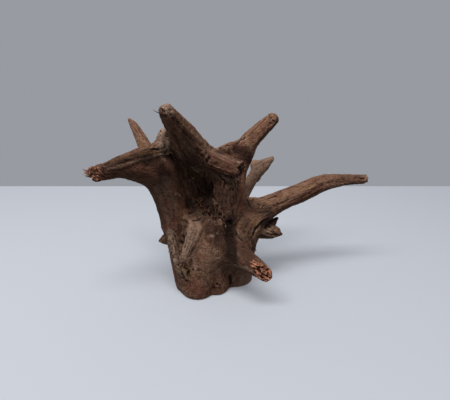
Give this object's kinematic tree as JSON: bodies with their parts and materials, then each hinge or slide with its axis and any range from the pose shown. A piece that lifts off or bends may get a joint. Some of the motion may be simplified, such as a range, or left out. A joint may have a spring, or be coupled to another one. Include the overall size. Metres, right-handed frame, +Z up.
{
  "type": "dry root",
  "caption": "Dry driftwood root in one piece: a flat-bottomed lobed foot opens into a fluted trunk with broken arms reaching out around a deep hollow.",
  "frame": {"origin": "centre of the flat underside of the foot, on the surface that the root stands on", "axes": "+Z up, +X towards the longest arm, -Y towards the front, where the hollow opens"},
  "size_m": [0.3115, 0.162, 0.2293],
  "materials": {
    "dry_wood": "rough, weathered, unfinished"
  },
  "bodies": {
    "root": {"dry_root": "dry_wood"}
  },
  "joints": []
}
